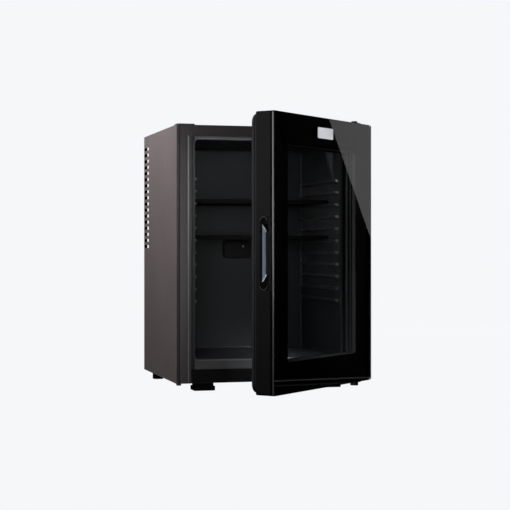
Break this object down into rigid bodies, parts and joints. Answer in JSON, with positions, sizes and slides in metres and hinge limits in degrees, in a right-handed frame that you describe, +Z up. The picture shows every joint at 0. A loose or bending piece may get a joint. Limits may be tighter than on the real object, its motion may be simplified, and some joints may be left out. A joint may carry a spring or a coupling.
{
  "type": "minibar fridge",
  "caption": "Small free-standing minibar fridge with a hinged glass door standing open, slide-in shelves and an open-backed cooling unit.",
  "frame": {"origin": "centre of the cabinet's footprint, on the floor", "axes": "+X to the right seen from the front, +Y to the back, +Z up; the door hinges at +X"},
  "size_m": [0.4171, 0.6672, 0.5695],
  "materials": {
    "casing_paint": "satin graphite-brown powder coat",
    "black_steel": "satin black",
    "zinc_sheet": "galvanised",
    "hinge_steel": "blackened steel",
    "fin_aluminium": "mill finish",
    "foam": "rigid polyurethane foam",
    "liner_plastic": "fine-grained dark grey",
    "frame_plastic": "satin black",
    "shelf_plastic": "satin black",
    "lens": "clear orange",
    "foot_plastic": "black",
    "door_plastic": "satin near-black",
    "glass": "clear with a black printed border",
    "clear_glass": "clear",
    "gasket_rubber": "matte",
    "bush_plastic": "smooth"
  },
  "bodies": {
    "cabinet": {"absorber_coil": "black_steel", "absorber_vessel": "black_steel", "base_panel": "black_steel", "boiler_casing": "black_steel", "bottom_hinge_bracket": "hinge_steel", "bottom_hinge_nut": "hinge_steel", "bottom_hinge_pin": "hinge_steel", "bottom_hinge_screws": "hinge_steel", "condenser_fins": "fin_aluminium", "condenser_tube": "black_steel", "cord_gland": "gasket_rubber", "electrical_box": "frame_plastic", "evaporator_feed_tube": "black_steel", "evaporator_plate": "fin_aluminium", "evaporator_return_tube": "black_steel", "foam_insulation": "foam", "front_frame": "frame_plastic", "front_left_foot": "foot_plastic", "front_right_foot": "foot_plastic", "heat_exchanger_tube": "black_steel", "inner_liner": "liner_plastic", "insulation_back_plate": "zinc_sheet", "lamp_housing": "frame_plastic", "lamp_lens": "lens", "left_shelf_ribs": "liner_plastic", "left_side_panel": "casing_paint", "lower_hinge_hole_plug": "frame_plastic", "lower_unit_strap": "black_steel", "plinth_panel": "frame_plastic", "rear_cross_bar": "black_steel", "rear_left_foot": "foot_plastic", "rear_right_foot": "foot_plastic", "right_shelf_ribs": "liner_plastic", "right_side_panel": "casing_paint", "top_hinge_pin": "hinge_steel", "top_hinge_plate": "hinge_steel", "top_hinge_rail": "casing_paint", "top_hinge_screws": "hinge_steel", "top_panel": "casing_paint", "upper_hinge_hole_cover": "frame_plastic", "upper_unit_strap": "black_steel", "vessel_saddles": "black_steel"},
    "door": {"door_frame": "door_plastic", "front_glass": "glass", "inner_glass": "clear_glass", "glazing_bead": "door_plastic", "door_gasket": "gasket_rubber", "gasket_magnets": "gasket_rubber", "handle_cup": "door_plastic", "top_hinge_bush": "bush_plastic", "bottom_hinge_bush": "bush_plastic"},
    "upper_shelf": {"upper_shelf": "shelf_plastic"},
    "lower_shelf": {"lower_shelf": "shelf_plastic"}
  },
  "joints": [
    {"name": "door_hinge", "type": "hinge", "parent": "cabinet", "child": "door", "pos_m": [0.1835, -0.202, 0.2892], "axis": [0, 0, 1], "range_deg": [-42.65, 54.65]},
    {"name": "upper_shelf_slide", "type": "slide", "parent": "cabinet", "child": "upper_shelf", "axis": [0, -1, 0], "range_m": [0, 0.06]},
    {"name": "lower_shelf_slide", "type": "slide", "parent": "cabinet", "child": "lower_shelf", "axis": [0, -1, 0], "range_m": [0, 0.06]}
  ]
}
